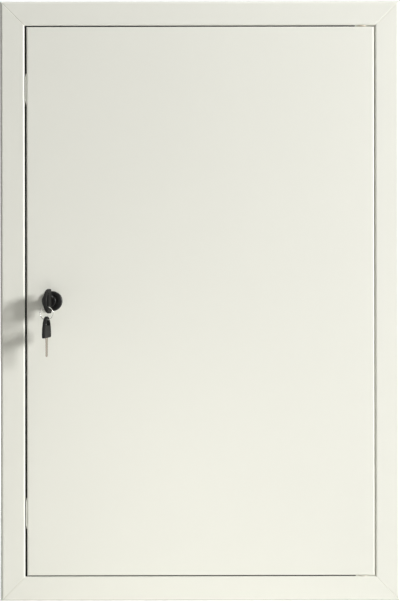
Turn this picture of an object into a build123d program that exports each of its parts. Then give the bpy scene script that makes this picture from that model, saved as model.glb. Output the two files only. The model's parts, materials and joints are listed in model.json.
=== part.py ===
from build123d import *
from math import cos, radians, sin, sqrt, tan
import os

"""Access panel door: a folded sheet-steel frame for a wall opening, with a flush hinged leaf,
a cam lock with its key in it, and a spare key on a wire ring.

The frame stands on the wall face. Millimetres, +Z up, +Y into the wall, +X to the right as seen
from the room. The origin is the middle of the bottom rail's wall foot, on the wall plane.
"""

# Frame: one folded section, mitred at the corners.
FRAME_WIDTH = 400.0
FRAME_HEIGHT = 600.0
FRAME_SHEET = 1.2
FACE_WIDTH = 25.0
STAND_OFF = 9.0
WALL_FOOT = 10.0
REVEAL_DEPTH = 22.0
STOP_WIDTH = 12.0
OUTER_BEND = 3.6
FOOT_BEND = 2.4
REVEAL_BEND = 1.7
INSIDE_BEND = 0.5
MITRE_GROOVE_WIDTH = 0.9
MITRE_GROOVE_DEPTH = 0.5
CUT_THROUGH = 1.0

# Leaf: a shallow pan, open at the back, with lips on its long sides.
LEAF_SHEET = 1.2
LEAF_DEPTH = 15.0
LEAF_LIP = 10.0
LEAF_BEND = 1.7
GAP_LOCK = 1.7
GAP_HINGE = 0.9
GAP_TOP = 1.0
GAP_BOTTOM = 0.8
CORNER_SLOT = 0.6
CORNER_SLOT_START = 2.6
PAD_LENGTH = 31.0
PAD_SLOPE = 4.0
PAD_THICK = 0.8
PAD_FROM_FACE = 0.3
PAD_DEPTH = 7.7
PAD_SPACING = 424.0

# Stiffener: a hat section spot-welded upright behind the leaf.
STIFFENER_SHEET = 1.0
STIFFENER_CROWN = 22.0
STIFFENER_FOOT = 10.0
STIFFENER_DEPTH = 11.5
STIFFENER_BEND = 1.6
STIFFENER_END_GAP = 22.0

# Pivots: a pin at the top and the bottom of the leaf turns in a bush in the frame.
PIVOT_FROM_EDGE = 12.0
PIVOT_FROM_FACE = 5.0
PIN_R = 2.0
PIN_RUNNING_GAP = 0.05
PIN_REACH = 5.5
PIN_HEAD_R = 3.2
PIN_HEAD = 1.4
PIN_BEVEL = 0.6
BUSH_R = 3.0
BUSH_HOLE_GAP = 0.03
BUSH_FLANGE_R = 5.0
BUSH_REACH = 4.5
BUSH_PLAY_TOP = 0.4
BUSH_PLAY_BOTTOM = 0.1
PIVOT_PLATE = 2.5
PIVOT_PLATE_LENGTH = 26.0
PIVOT_PLATE_DEPTH = 11.5
PIVOT_PLATE_OUTER = 9.0
PIVOT_PLATE_CORNER = 3.0
PIVOT_PLATE_INSET = 0.4

# Wall anchors: straps welded behind the reveals.
ANCHOR_SHEET = 2.0
ANCHOR_WIDTH = 20.0
ANCHOR_FRONT = 5.0
ANCHOR_REACH = 56.0
ANCHOR_TAIL = 14.0
ANCHOR_TAIL_ANGLE = 40.0
ANCHOR_BEND = 3.0
ANCHOR_HOLE_R = 3.25
ANCHOR_HOLE_Y = 40.0
ANCHOR_SPACING = 380.0

# Door buffers: rubber studs pushed into the lock jamb's stop.
BUFFER_R = 4.0
BUFFER_EDGE = 1.2
BUFFER_PLAY = 0.3
BUFFER_STEM_R = 1.8
BUFFER_BARB_R = 2.5
BUFFER_BARB = 2.2
BUFFER_TIP_R = 1.1
BUFFER_SPACING = 300.0
BUFFER_FROM_REVEAL = 6.2

# Cam lock, on an axis along Y.
LOCK_FROM_EDGE = 26.1
BEZEL_R = 10.0
BEZEL_HEIGHT = 3.2
BEZEL_ROUND = 0.9
RECESS_R = 6.7
RECESS_DEPTH = 2.2
BARREL_R = 8.0
BARREL_FLAT = 7.0
BARREL_LENGTH = 20.0
BARREL_HOLE_GAP = 0.1
NUT_FLATS = 22.0
NUT_HEIGHT = 4.0
NUT_BORE_GAP = 0.05
NUT_BEVEL = 0.9
NUT_BEVEL_ANGLE = 30.0
PLUG_R = 5.3
PLUG_RUNNING_GAP = 0.06
PLUG_NOSE = 9.0
PLUG_EDGE = 0.5
PLUG_NECK_R = 4.3
CLIP_R = 6.3
CLIP_HEIGHT = 0.8
CLIP_PLAY = 0.1
CLIP_MOUTH = 5.0
CAM_SHEET = 2.0
CAM_PLAY = 0.5
CAM_WIDTH = 14.0
CAM_REACH = 24.0
CAM_SQUARE = 6.0
CAM_CORNER = 3.5
WASHER_R = 5.0
WASHER_HEIGHT = 0.8
SCREW_R = 1.8
SCREW_DEPTH = 7.0
SCREW_HEAD_R = 3.6
SCREW_HEAD = 2.2
SCREW_EDGE = 0.8
SCREW_SLOT = 0.9
SCREW_SLOT_DEPTH = 1.2

# Keys: a plastic head, dished on both sides round its eye, on a steel blade.
KEY_HEAD_LENGTH = 20.5
KEY_HEAD_WIDTH = 23.9
KEY_HEAD_THICK = 3.2
KEY_DOME = 17.7
KEY_BASE_CORNER = 1.4
KEY_EDGE = 0.9
KEY_DISH_RIM = 1.9
KEY_DISH_CHORD = 8.9
KEY_DISH_DEPTH = 0.45
KEY_DISH_CORNER = 1.0
KEY_EYE_RIM = 2.6
KEY_EYE_CHORD = 8.8
KEY_EYE_WIDTH = 13.0
KEY_EYE_CORNER = 1.2
KEY_COLLAR = 1.4
KEY_COLLAR_WIDTH = 6.0
KEY_COLLAR_THICK = 1.6
KEY_COLLAR_CORNER = 0.5
KEY_BLADE_LENGTH = 17.0
KEY_BLADE_WIDTH = 5.0
KEY_BLADE_THICK = 1.1
KEY_TIP_SLOPE = 1.8
KEY_CUTS = 5
KEY_CUT_PITCH = 2.4
KEY_CUT_DEPTH = 0.6
KEY_CUT_FROM_TIP = 3.4
KEYWAY_GAP = 0.15
KEY_SEAT_GAP = 0.1

# Wire ring through both key heads.
RING_R = 6.3
RING_WIRE_R = 0.45
RING_FROM_KEY_END = 7.5
RING_TO_RIM = 2.7
SPARE_PLAY = 0.35

# Places worked out from the sizes above.
CENTRE_Z = FRAME_HEIGHT / 2 - WALL_FOOT / 2
BOTTOM_Z = -WALL_FOOT / 2
TOP_Z = BOTTOM_Z + FRAME_HEIGHT
FACE_Y = -STAND_OFF
REVEAL_X = FRAME_WIDTH / 2 - FACE_WIDTH
REVEAL_BOTTOM = BOTTOM_Z + FACE_WIDTH
REVEAL_TOP = TOP_Z - FACE_WIDTH
STOP_Y = FACE_Y + REVEAL_DEPTH
LEAF_LEFT = -REVEAL_X + GAP_LOCK
LEAF_RIGHT = REVEAL_X - GAP_HINGE
LEAF_BOTTOM = REVEAL_BOTTOM + GAP_BOTTOM
LEAF_TOP = REVEAL_TOP - GAP_TOP
LEAF_BACK = FACE_Y + LEAF_DEPTH
LEAF_INNER_Y = FACE_Y + LEAF_SHEET
PIVOT_X = LEAF_RIGHT - PIVOT_FROM_EDGE
PIVOT_Y = FACE_Y + PIVOT_FROM_FACE
LOCK_X = LEAF_LEFT + LOCK_FROM_EDGE
LOCK_Z = CENTRE_Z
BARREL_END = FACE_Y + BARREL_LENGTH
CAM_Y = STOP_Y + FRAME_SHEET + CAM_PLAY
KEY_SEAT_Y = FACE_Y - PLUG_NOSE - KEY_SEAT_GAP
KEY_BASE_Y = KEY_SEAT_Y - KEY_COLLAR
KEY_END_Y = KEY_BASE_Y - KEY_HEAD_LENGTH
RING_Y = KEY_END_Y + RING_FROM_KEY_END


def left_normal(start, end):
    """Unit vector to the left of the line from start to end."""
    run_u = end[0] - start[0]
    run_v = end[1] - start[1]
    run = sqrt(run_u * run_u + run_v * run_v)
    return (-run_v / run, run_u / run)


def folded_section(points, radii, sheet):
    """Face of a bent sheet. The points follow its visible side, and the sheet lies to their left.
    A radius is positive where the visible side is the outside of the bend."""
    normals = [left_normal(start, end) for start, end in zip(points, points[1:])]
    inner = []
    for point, (n1, n2) in zip(points, zip([normals[0], *normals], [*normals, normals[-1]])):
        share = sheet / (1 + n1[0] * n2[0] + n1[1] * n2[1])
        inner.append((point[0] + share * (n1[0] + n2[0]), point[1] + share * (n1[1] + n2[1])))
    outer_line = FilletPolyline(*points, radius=[abs(r) for r in radii])
    inner_line = FilletPolyline(*inner, radius=[r - sheet if r > 0 else abs(r) + sheet for r in radii])
    ends = [Line(points[0], inner[0]), Line(points[-1], inner[-1])]
    return make_face([*outer_line.edges(), *inner_line.edges(), *[e for end in ends for e in end.edges()]])


def y_cylinder(radius, y_from, y_to, x=0.0, z=0.0):
    """Cylinder along Y between two depths."""
    return Pos(x, (y_from + y_to) / 2, z) * Rot(90, 0, 0) * Cylinder(radius, y_to - y_from)


def span_box(x_from, x_to, y_from, y_to, z_from, z_to):
    """Box between two corners."""
    centre = Pos((x_from + x_to) / 2, (y_from + y_to) / 2, (z_from + z_to) / 2)
    return centre * Box(x_to - x_from, y_to - y_from, z_to - z_from)


def frame_rail(length):
    """One mitred side of the frame, along Z, with its outer edge on X = 0 and centred on Z = 0."""
    points = [
        (WALL_FOOT, 0.0),
        (0.0, 0.0),
        (0.0, FACE_Y),
        (FACE_WIDTH, FACE_Y),
        (FACE_WIDTH, STOP_Y),
        (FACE_WIDTH + STOP_WIDTH, STOP_Y),
    ]
    section = folded_section(points, [FOOT_BEND, OUTER_BEND, REVEAL_BEND, -INSIDE_BEND], FRAME_SHEET)
    rail = Pos(0, 0, -length / 2) * extrude(section, length, dir=(0, 0, 1))
    reach = FACE_WIDTH + STOP_WIDTH + FRAME_SHEET
    for end in (-1, 1):
        corner = [(0, end * length / 2), (reach, end * (length / 2 - reach)), (reach, end * length / 2)]
        triangle = Plane.XZ * make_face(Polyline(*corner, close=True))
        rail -= extrude(triangle, REVEAL_DEPTH + STAND_OFF, both=True)
        groove_points = [
            (-MITRE_GROOVE_WIDTH / 2, 0),
            (MITRE_GROOVE_WIDTH / 2, 0),
            (0, MITRE_GROOVE_DEPTH),
        ]
        groove = make_face(Polyline(*groove_points, close=True))
        groove = extrude(groove, FRAME_WIDTH, both=True, dir=(0, 0, 1))
        rail -= Pos(0, FACE_Y, end * length / 2) * Rot(0, -end * 45, 0) * groove
    return rail


def place_rail(rail, turn, x, z):
    """Turns a rail about Y and puts its outer edge's middle at X, Z."""
    return Pos(x, 0, z) * Rot(0, turn, 0) * rail


def make_frame():
    """The four rails, with the bush holes and the buffer holes."""
    upright = frame_rail(FRAME_HEIGHT)
    cross = frame_rail(FRAME_WIDTH)
    lock_jamb = place_rail(upright, 0, -FRAME_WIDTH / 2, CENTRE_Z)
    hinge_jamb = place_rail(upright, 180, FRAME_WIDTH / 2, CENTRE_Z)
    bottom_rail = place_rail(cross, -90, 0, BOTTOM_Z)
    top_rail = place_rail(cross, 90, 0, TOP_Z)
    bush_hole = Pos(PIVOT_X, PIVOT_Y, 0) * Cylinder(BUSH_R + BUSH_HOLE_GAP, 4 * FRAME_SHEET)
    bottom_rail -= Pos(0, 0, REVEAL_BOTTOM) * bush_hole
    top_rail -= Pos(0, 0, REVEAL_TOP) * bush_hole
    for z in buffer_heights():
        lock_jamb -= y_cylinder(
            BUFFER_STEM_R, STOP_Y - CUT_THROUGH, STOP_Y + FRAME_SHEET + CUT_THROUGH, buffer_x(), z
        )
    return {
        "bottom_rail": bottom_rail,
        "top_rail": top_rail,
        "lock_jamb": lock_jamb,
        "hinge_jamb": hinge_jamb,
    }


def buffer_heights():
    return (CENTRE_Z - BUFFER_SPACING / 2, CENTRE_Z + BUFFER_SPACING / 2)


def buffer_x():
    return -REVEAL_X + BUFFER_FROM_REVEAL


def door_buffer(z):
    """Rubber stud: a domed head in front of the stop, a stem and a barb behind it."""
    head_y = LEAF_BACK + BUFFER_PLAY
    back_y = STOP_Y + FRAME_SHEET
    profile = [
        (0, head_y),
        (BUFFER_R - BUFFER_EDGE, head_y),
        (BUFFER_R, head_y + BUFFER_EDGE),
        (BUFFER_R, STOP_Y),
        (BUFFER_STEM_R, STOP_Y),
        (BUFFER_STEM_R, back_y),
        (BUFFER_BARB_R, back_y),
        (BUFFER_TIP_R, back_y + BUFFER_BARB),
        (0, back_y + BUFFER_BARB),
    ]
    stud = revolve(make_face(Polyline(*profile, close=True)), Axis.Y)
    return Pos(buffer_x(), 0, z) * stud


def wall_anchor(side, z):
    """Strap behind a reveal, with a fixing hole and a tail bent away from the opening."""
    weld_x = REVEAL_X + FRAME_SHEET
    tail_x = weld_x + ANCHOR_TAIL * sin(radians(ANCHOR_TAIL_ANGLE))
    tail_y = ANCHOR_REACH + ANCHOR_TAIL * cos(radians(ANCHOR_TAIL_ANGLE))
    points = [(tail_x, tail_y), (weld_x, ANCHOR_REACH), (weld_x, FACE_Y + ANCHOR_FRONT)]
    section = folded_section(points, [ANCHOR_BEND], ANCHOR_SHEET)
    strap = Pos(0, 0, z - ANCHOR_WIDTH / 2) * extrude(section, ANCHOR_WIDTH, dir=(0, 0, 1))
    strap -= Pos(weld_x, ANCHOR_HOLE_Y, z) * Rot(0, 90, 0) * Cylinder(ANCHOR_HOLE_R, 6 * ANCHOR_SHEET)
    return strap if side > 0 else mirror(strap, about=Plane.YZ)


def make_leaf_panel():
    """Folded pan: the front sheet, four returns and two lips."""
    outer = span_box(LEAF_LEFT, LEAF_RIGHT, FACE_Y, LEAF_BACK, LEAF_BOTTOM, LEAF_TOP)
    front_edges = outer.faces().sort_by(Axis.Y)[0].edges()
    back_edges = outer.faces().sort_by(Axis.Y)[-1].edges().filter_by(Axis.Z)
    outer = fillet([*front_edges, *back_edges], LEAF_BEND)
    inner = span_box(
        LEAF_LEFT + LEAF_SHEET,
        LEAF_RIGHT - LEAF_SHEET,
        LEAF_INNER_Y,
        LEAF_BACK - LEAF_SHEET,
        LEAF_BOTTOM + LEAF_SHEET,
        LEAF_TOP - LEAF_SHEET,
    )
    front_edges = inner.faces().sort_by(Axis.Y)[0].edges()
    back_edges = inner.faces().sort_by(Axis.Y)[-1].edges().filter_by(Axis.Z)
    inner = fillet([*front_edges, *back_edges], LEAF_BEND - LEAF_SHEET)
    mouth = span_box(
        LEAF_LEFT + LEAF_LIP,
        LEAF_RIGHT - LEAF_LIP,
        LEAF_INNER_Y + LEAF_SHEET,
        LEAF_BACK + CUT_THROUGH,
        LEAF_BOTTOM + LEAF_SHEET,
        LEAF_TOP - LEAF_SHEET,
    )
    panel = outer - inner - mouth
    for x_from in (LEAF_LEFT + LEAF_SHEET, LEAF_RIGHT - LEAF_SHEET - CORNER_SLOT):
        for z_from in (LEAF_BOTTOM, LEAF_TOP - LEAF_SHEET):
            slot_y = FACE_Y + CORNER_SLOT_START
            panel -= span_box(
                x_from,
                x_from + CORNER_SLOT,
                slot_y,
                LEAF_BACK + CUT_THROUGH,
                z_from - CUT_THROUGH,
                z_from + LEAF_SHEET + CUT_THROUGH,
            )
    panel -= barrel_shape(FACE_Y - CUT_THROUGH, LEAF_INNER_Y + CUT_THROUGH, BARREL_HOLE_GAP)
    pin_hole = Pos(PIVOT_X, PIVOT_Y, 0) * Cylinder(PIN_R, 4 * LEAF_SHEET)
    panel -= Pos(0, 0, LEAF_BOTTOM) * pin_hole
    panel -= Pos(0, 0, LEAF_TOP) * pin_hole
    return panel


def edge_pad(z):
    """Thin strip with sloped ends on the leaf's lock-side edge, which narrows the gap there."""
    half = PAD_LENGTH / 2
    outline = [
        (LEAF_LEFT, z - half),
        (LEAF_LEFT, z + half),
        (LEAF_LEFT - PAD_THICK, z + half - PAD_SLOPE),
        (LEAF_LEFT - PAD_THICK, z - half + PAD_SLOPE),
    ]
    strip = extrude(Plane.XZ * make_face(Polyline(*outline, close=True)), PAD_DEPTH, dir=(0, 1, 0))
    return Pos(0, FACE_Y + PAD_FROM_FACE, 0) * strip


def make_stiffener():
    """Hat section, with its feet on the back of the front sheet."""
    half_crown = STIFFENER_CROWN / 2
    foot_end = half_crown + STIFFENER_FOOT
    foot_y = LEAF_INNER_Y + STIFFENER_SHEET
    crown_y = LEAF_INNER_Y + STIFFENER_DEPTH
    points = [
        (foot_end, foot_y),
        (half_crown, foot_y),
        (half_crown, crown_y),
        (-half_crown, crown_y),
        (-half_crown, foot_y),
        (-foot_end, foot_y),
    ]
    radii = [-(STIFFENER_BEND - STIFFENER_SHEET), STIFFENER_BEND, STIFFENER_BEND,
             -(STIFFENER_BEND - STIFFENER_SHEET)]
    section = folded_section(points, radii, STIFFENER_SHEET)
    bottom = LEAF_BOTTOM + STIFFENER_END_GAP
    length = LEAF_TOP - STIFFENER_END_GAP - bottom
    middle_x = (LEAF_LEFT + LEAF_RIGHT) / 2
    return Pos(middle_x, 0, bottom) * extrude(section, length, dir=(0, 0, 1))


def pivot_plate(z_from):
    """Plate welded inside the leaf's end return, round the pin."""
    plate = span_box(
        PIVOT_X + PIVOT_PLATE_OUTER - PIVOT_PLATE_LENGTH,
        PIVOT_X + PIVOT_PLATE_OUTER,
        LEAF_INNER_Y + PIVOT_PLATE_INSET,
        LEAF_INNER_Y + PIVOT_PLATE_INSET + PIVOT_PLATE_DEPTH,
        z_from,
        z_from + PIVOT_PLATE,
    )
    plate = fillet(plate.edges().filter_by(Axis.Z), PIVOT_PLATE_CORNER)
    return plate - Pos(PIVOT_X, PIVOT_Y, z_from) * Cylinder(PIN_R, 4 * PIVOT_PLATE)


def pivot_pin(plate_face, tip, direction):
    """Pin with a riveted head against the plate and a chamfered tip."""
    head_end = plate_face - direction * PIN_HEAD
    profile = [
        (0, head_end),
        (PIN_HEAD_R - PIN_BEVEL, head_end),
        (PIN_HEAD_R, head_end + direction * PIN_BEVEL),
        (PIN_HEAD_R, plate_face),
        (PIN_R, plate_face),
        (PIN_R, tip - direction * PIN_BEVEL),
        (PIN_R - PIN_BEVEL, tip),
        (0, tip),
    ]
    turned = revolve(Plane.XZ * make_face(Polyline(*profile, close=True)), Axis.Z)
    return Pos(PIVOT_X, PIVOT_Y, 0) * turned


def pivot_bush(reveal_z, flange, direction):
    """Nylon bush: a flange in the gap and a barrel through the frame sheet."""
    bore_r = PIN_R + PIN_RUNNING_GAP
    barrel_end = reveal_z + direction * (FRAME_SHEET + BUSH_REACH)
    flange_face = reveal_z - direction * flange
    profile = [
        (bore_r, flange_face),
        (BUSH_FLANGE_R, flange_face),
        (BUSH_FLANGE_R, reveal_z),
        (BUSH_R, reveal_z),
        (BUSH_R, barrel_end),
        (bore_r, barrel_end),
    ]
    turned = revolve(Plane.XZ * make_face(Polyline(*profile, close=True)), Axis.Z)
    return Pos(PIVOT_X, PIVOT_Y, 0) * turned


def make_pivots():
    top_plate_z = LEAF_TOP - LEAF_SHEET - PIVOT_PLATE
    bottom_plate_z = LEAF_BOTTOM + LEAF_SHEET
    top_tip = REVEAL_TOP + PIN_REACH
    bottom_tip = REVEAL_BOTTOM - PIN_REACH
    return {
        "upper_pivot_plate": pivot_plate(top_plate_z),
        "lower_pivot_plate": pivot_plate(bottom_plate_z),
        "upper_pivot_pin": pivot_pin(top_plate_z, top_tip, 1),
        "lower_pivot_pin": pivot_pin(bottom_plate_z + PIVOT_PLATE, bottom_tip, -1),
        "upper_pivot_bush": pivot_bush(REVEAL_TOP, GAP_TOP - BUSH_PLAY_TOP, 1),
        "lower_pivot_bush": pivot_bush(REVEAL_BOTTOM, GAP_BOTTOM - BUSH_PLAY_BOTTOM, -1),
    }


def barrel_shape(y_from, y_to, gap=0.0):
    """The lock barrel's outline, a circle with two flats, between two depths."""
    barrel = y_cylinder(BARREL_R + gap, y_from, y_to, LOCK_X, LOCK_Z)
    flat = BARREL_FLAT + gap
    return barrel & span_box(
        LOCK_X - flat, LOCK_X + flat, y_from, y_to, LOCK_Z - 2 * BARREL_R, LOCK_Z + 2 * BARREL_R
    )


def lock_turned(profile):
    """Solid of revolution about the lock's axis, from radius and depth pairs."""
    face = make_face(Polyline(*profile, close=True))
    return Pos(LOCK_X, 0, LOCK_Z) * revolve(face, Axis.Y)


def make_lock_housing():
    """Bezel on the leaf's face and the barrel behind it."""
    bezel_y = FACE_Y - BEZEL_HEIGHT
    bezel = y_cylinder(BEZEL_R, bezel_y, FACE_Y, LOCK_X, LOCK_Z)
    rim = bezel.faces().sort_by(Axis.Y)[0].edges()
    bezel = fillet(rim, BEZEL_ROUND)
    housing = bezel + barrel_shape(FACE_Y, BARREL_END)
    housing -= y_cylinder(RECESS_R, bezel_y - CUT_THROUGH, bezel_y + RECESS_DEPTH, LOCK_X, LOCK_Z)
    bore_r = PLUG_R + PLUG_RUNNING_GAP
    return housing - y_cylinder(bore_r, bezel_y - CUT_THROUGH, BARREL_END + CUT_THROUGH, LOCK_X, LOCK_Z)


def make_lock_nut():
    """Hexagon nut that clamps the lock to the leaf."""
    nut_end = LEAF_INNER_Y + NUT_HEIGHT
    hexagon = Plane.XZ * RegularPolygon(NUT_FLATS / 2, 6, major_radius=False)
    nut = Pos(LOCK_X, LEAF_INNER_Y, LOCK_Z) * extrude(hexagon, NUT_HEIGHT, dir=(0, 1, 0))
    corner_r = NUT_FLATS / sqrt(3)
    turned = [
        (0, LEAF_INNER_Y),
        (corner_r, LEAF_INNER_Y),
        (corner_r, nut_end - NUT_BEVEL),
        (corner_r - NUT_BEVEL / tan(radians(NUT_BEVEL_ANGLE)), nut_end),
        (0, nut_end),
    ]
    nut &= lock_turned(turned)
    bore_r = BARREL_R + NUT_BORE_GAP
    return nut - y_cylinder(bore_r, LEAF_INNER_Y - CUT_THROUGH, nut_end + CUT_THROUGH, LOCK_X, LOCK_Z)


def make_lock_plug():
    """Cylinder with the keyway, the neck for the clip and the square for the cam."""
    nose_y = FACE_Y - PLUG_NOSE
    profile = [
        (0, nose_y),
        (PLUG_R - PLUG_EDGE, nose_y),
        (PLUG_R, nose_y + PLUG_EDGE),
        (PLUG_R, BARREL_END),
        (PLUG_NECK_R, BARREL_END),
        (PLUG_NECK_R, CAM_Y),
        (0, CAM_Y),
    ]
    plug = lock_turned(profile)
    half = CAM_SQUARE / 2
    plug += span_box(LOCK_X - half, LOCK_X + half, CAM_Y, CAM_Y + CAM_SHEET, LOCK_Z - half, LOCK_Z + half)
    slot_half = KEY_BLADE_THICK / 2 + KEYWAY_GAP
    slot_height = KEY_BLADE_WIDTH / 2 + KEYWAY_GAP
    slot_end = KEY_SEAT_Y + KEY_BLADE_LENGTH + KEYWAY_GAP
    plug -= span_box(
        LOCK_X - slot_half,
        LOCK_X + slot_half,
        nose_y - CUT_THROUGH,
        slot_end,
        LOCK_Z - slot_height,
        LOCK_Z + slot_height,
    )
    screw_end = CAM_Y + CAM_SHEET - SCREW_DEPTH
    return plug - y_cylinder(SCREW_R, screw_end, CAM_Y + CAM_SHEET + CUT_THROUGH, LOCK_X, LOCK_Z)


def make_plug_clip():
    """Open spring ring on the plug's neck, behind the barrel."""
    start = BARREL_END + CLIP_PLAY
    end = start + CLIP_HEIGHT
    clip = y_cylinder(CLIP_R, start, end, LOCK_X, LOCK_Z)
    clip -= y_cylinder(PLUG_NECK_R, start - CUT_THROUGH, end + CUT_THROUGH, LOCK_X, LOCK_Z)
    half = CLIP_MOUTH / 2
    return clip - span_box(
        LOCK_X - half, LOCK_X + half, start - CUT_THROUGH, end + CUT_THROUGH, LOCK_Z, LOCK_Z + 2 * CLIP_R
    )


def make_lock_cam():
    """Flat tongue that points down while the lock is open."""
    half = CAM_WIDTH / 2
    outline = span_box(LOCK_X - half, LOCK_X + half, CAM_Y, CAM_Y + CAM_SHEET, LOCK_Z - CAM_REACH, LOCK_Z)
    outline = fillet(outline.edges().filter_by(Axis.Y).group_by(Axis.Z)[0], CAM_CORNER)
    cam = outline + y_cylinder(half, CAM_Y, CAM_Y + CAM_SHEET, LOCK_X, LOCK_Z)
    square = CAM_SQUARE / 2
    return cam - span_box(
        LOCK_X - square,
        LOCK_X + square,
        CAM_Y - CUT_THROUGH,
        CAM_Y + CAM_SHEET + CUT_THROUGH,
        LOCK_Z - square,
        LOCK_Z + square,
    )


def make_cam_fixings():
    """Washer and slotted screw behind the cam."""
    washer_y = CAM_Y + CAM_SHEET
    head_y = washer_y + WASHER_HEIGHT
    washer = y_cylinder(WASHER_R, washer_y, head_y, LOCK_X, LOCK_Z)
    washer -= y_cylinder(SCREW_R, washer_y - CUT_THROUGH, head_y + CUT_THROUGH, LOCK_X, LOCK_Z)
    screw = y_cylinder(SCREW_R, washer_y - SCREW_DEPTH, head_y, LOCK_X, LOCK_Z)
    head = y_cylinder(SCREW_HEAD_R, head_y, head_y + SCREW_HEAD, LOCK_X, LOCK_Z)
    head = fillet(head.faces().sort_by(Axis.Y)[-1].edges(), SCREW_EDGE)
    slot_half = SCREW_SLOT / 2
    head -= span_box(
        LOCK_X - 2 * SCREW_HEAD_R,
        LOCK_X + 2 * SCREW_HEAD_R,
        head_y + SCREW_HEAD - SCREW_SLOT_DEPTH,
        head_y + SCREW_HEAD + CUT_THROUGH,
        LOCK_Z - slot_half,
        LOCK_Z + slot_half,
    )
    return {"cam_washer": washer, "cam_screw": screw + head}


def half_round(half_width, depth, chord, corner):
    """Half ellipse with its straight side at the chord and its rounded side towards +Y."""
    ellipse = Pos(0, chord) * Ellipse(half_width, depth)
    shape = ellipse & Pos(0, chord + depth) * Rectangle(4 * half_width, 2 * depth)
    return fillet(shape.vertices(), corner)


def key_outline():
    """Half ellipse on a short straight base: X across the key, Y along it, the base at Y = 0."""
    straight = KEY_HEAD_LENGTH - KEY_DOME
    ellipse = Pos(0, straight) * Ellipse(KEY_HEAD_WIDTH / 2, KEY_DOME)
    arch = ellipse & Pos(0, straight + KEY_DOME) * Rectangle(2 * KEY_HEAD_WIDTH, 2 * KEY_DOME)
    outline = arch + Pos(0, straight / 2) * Rectangle(KEY_HEAD_WIDTH, straight)
    return fillet(outline.vertices().group_by(Axis.Y)[0], KEY_BASE_CORNER)


def make_key_head():
    """Head along +Z from its base at Z = 0, across Y, with its thickness on X."""
    half_thick = KEY_HEAD_THICK / 2
    head = extrude(key_outline(), half_thick, both=True)
    head = fillet(head.faces().sort_by(Axis.Z)[-1].edges() + head.faces().sort_by(Axis.Z)[0].edges(), KEY_EDGE)
    dish_chord = KEY_HEAD_LENGTH - KEY_DISH_CHORD
    dish_half = KEY_HEAD_WIDTH / 2 * sqrt(1 - ((KEY_DOME - KEY_DISH_CHORD) / KEY_DOME) ** 2) - KEY_DISH_RIM
    dish = half_round(dish_half, KEY_DISH_CHORD - KEY_DISH_RIM, dish_chord, KEY_DISH_CORNER)
    for side in (-1, 1):
        floor = half_thick - KEY_DISH_DEPTH
        head -= Pos(0, 0, side * floor) * extrude(dish, KEY_HEAD_THICK, dir=(0, 0, side))
    eye_chord = KEY_HEAD_LENGTH - KEY_EYE_CHORD
    eye = half_round(KEY_EYE_WIDTH / 2, KEY_EYE_CHORD - KEY_EYE_RIM, eye_chord, KEY_EYE_CORNER)
    head -= extrude(eye, KEY_HEAD_THICK, both=True)
    upright = Plane(origin=(0, 0, 0), x_dir=(0, 1, 0), z_dir=(1, 0, 0))
    return upright * head


def make_key_blade():
    """Collar and blade along -Z from the head's base at Z = 0, cut alike on both edges."""
    half_collar = KEY_COLLAR_WIDTH / 2
    half_thick = KEY_COLLAR_THICK / 2
    collar = span_box(-half_thick, half_thick, -half_collar, half_collar, -KEY_COLLAR, 0)
    collar = fillet(collar.edges().filter_by(Axis.Z), KEY_COLLAR_CORNER)
    tip = -KEY_COLLAR - KEY_BLADE_LENGTH
    half = KEY_BLADE_WIDTH / 2
    outline = [
        (-half, -KEY_COLLAR),
        (half, -KEY_COLLAR),
        (half, tip + KEY_TIP_SLOPE),
        (half - KEY_TIP_SLOPE, tip),
        (-half + KEY_TIP_SLOPE, tip),
        (-half, tip + KEY_TIP_SLOPE),
    ]
    flat = make_face(Polyline(*outline, close=True))
    half_pitch = KEY_CUT_PITCH / 2
    notch = make_face(Polyline((0, -half_pitch), (KEY_CUT_DEPTH, 0), (0, half_pitch), close=True))
    for cut in range(KEY_CUTS):
        height = tip + KEY_CUT_FROM_TIP + cut * KEY_CUT_PITCH
        flat -= Pos(-half, height) * notch
        flat -= Pos(half, height) * Rot(0, 0, 180) * notch
    upright = Plane(origin=(0, 0, 0), x_dir=(0, 1, 0), z_dir=(1, 0, 0))
    return collar + upright * extrude(flat, KEY_BLADE_THICK / 2, both=True)


def rim_centre():
    """How far the middle of the key head's lower rim is from the lock's axis, in the ring's plane."""
    along = KEY_DOME - RING_FROM_KEY_END
    outer = KEY_HEAD_WIDTH / 2 * sqrt(1 - (along / KEY_DOME) ** 2)
    return (outer + KEY_EYE_WIDTH / 2) / 2


def make_keys():
    """The key in the lock, the ring through its eye and the spare key hanging from the ring."""
    head = make_key_head()
    blade = make_key_blade()
    in_lock = Pos(LOCK_X, KEY_BASE_Y, LOCK_Z) * Rot(90, 0, 0)
    ring_z = LOCK_Z - rim_centre() + RING_TO_RIM - RING_R
    ring = Pos(LOCK_X, RING_Y, ring_z) * Rot(90, 0, 0) * Torus(RING_R, RING_WIRE_R)
    wire_z = ring_z - RING_R
    spare_end = wire_z + RING_WIRE_R + SPARE_PLAY + KEY_EYE_RIM
    hanging = Pos(LOCK_X, RING_Y, spare_end - KEY_HEAD_LENGTH)
    return {
        "key_head": in_lock * head,
        "key_blade": in_lock * blade,
        "key_ring": ring,
        "spare_key_head": hanging * head,
        "spare_key_blade": hanging * blade,
    }


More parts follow.
